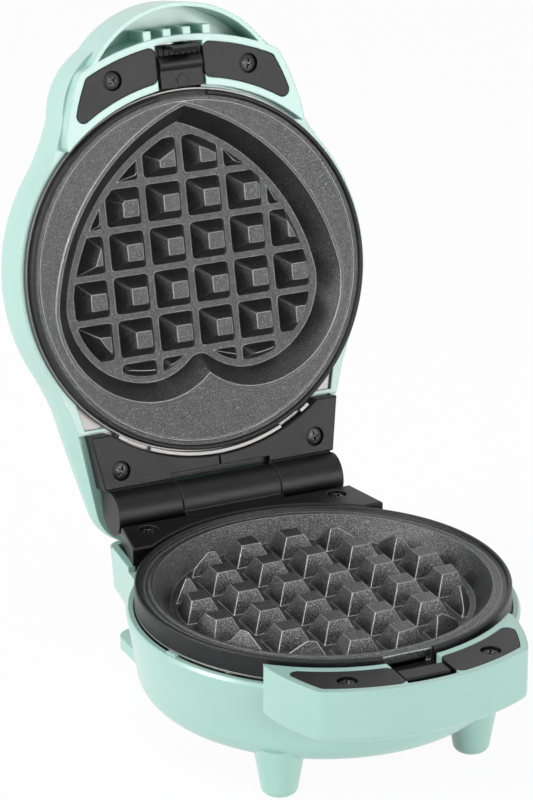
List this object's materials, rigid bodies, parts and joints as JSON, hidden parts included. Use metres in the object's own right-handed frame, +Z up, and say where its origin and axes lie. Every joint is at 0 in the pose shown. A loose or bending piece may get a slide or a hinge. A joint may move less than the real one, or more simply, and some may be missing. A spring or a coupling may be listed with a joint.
{
  "type": "mini waffle maker",
  "caption": "Round clamshell mini waffle maker, open: a heart waffle plate in the hinged lid, a round grid plate in the base, and a latch at the front handle.",
  "frame": {"origin": "centre of the open maker's outline, on the table under its feet", "axes": "+Z up; -Y towards the handles and the user; +X to the right seen from the handles"},
  "size_m": [0.1204, 0.2064, 0.2028],
  "materials": {
    "mint_plastic": "gloss",
    "black_plastic": "satin",
    "soft_black": "matte",
    "white_plastic": "matte",
    "coated_aluminium": "satin, non-stick coating",
    "sheet_steel": "brushed",
    "heater_tube": "oxidised",
    "screw_steel": "blackened",
    "bright_steel": "ground",
    "spring_steel": "plain",
    "red_lens": "clear red",
    "lamp_glass": "clear",
    "wire_sleeve": "matte"
  },
  "bodies": {
    "base": {"base_shell": "mint_plastic", "bottom_cover": "black_plastic", "bottom_cover_screws": "screw_steel", "foot_pads": "soft_black", "base_plate": "coated_aluminium", "base_heater": "heater_tube", "base_reflector": "sheet_steel", "base_plate_screws": "screw_steel", "base_inlay_left": "black_plastic", "base_inlay_right": "black_plastic", "base_inlay_screws": "screw_steel", "latch_catch": "black_plastic", "base_hinge_block": "black_plastic", "base_hinge_screws": "screw_steel", "hinge_pin": "bright_steel", "cord_gland": "soft_black", "terminal_block": "white_plastic", "thermal_fuse": "sheet_steel", "base_wires": "wire_sleeve"},
    "lid": {"lid_shell": "mint_plastic", "lid_plate": "coated_aluminium", "lid_heater": "heater_tube", "lid_reflector": "sheet_steel", "lid_plate_screws": "screw_steel", "lid_inlay_left": "black_plastic", "lid_inlay_right": "black_plastic", "lid_inlay_screws": "screw_steel", "lid_hinge_bracket": "black_plastic", "lid_hinge_screws": "screw_steel", "thermostat": "sheet_steel", "indicator_lens": "red_lens", "indicator_lamp": "lamp_glass", "lid_wires": "wire_sleeve", "latch_pin": "bright_steel", "latch_spring": "spring_steel"},
    "latch": {"latch_lever": "black_plastic"}
  },
  "joints": [
    {"name": "lid_hinge", "type": "hinge", "parent": "base", "child": "lid", "pos_m": [0, 0.0445, 0.0488], "axis": [1, 0, 0], "range_deg": [0, 102.7]},
    {"name": "latch_pivot", "type": "hinge", "parent": "lid", "child": "latch", "pos_m": [0, 0.08335, 0.18253], "axis": [1, 0, 0], "range_deg": [0, 6.5]}
  ]
}
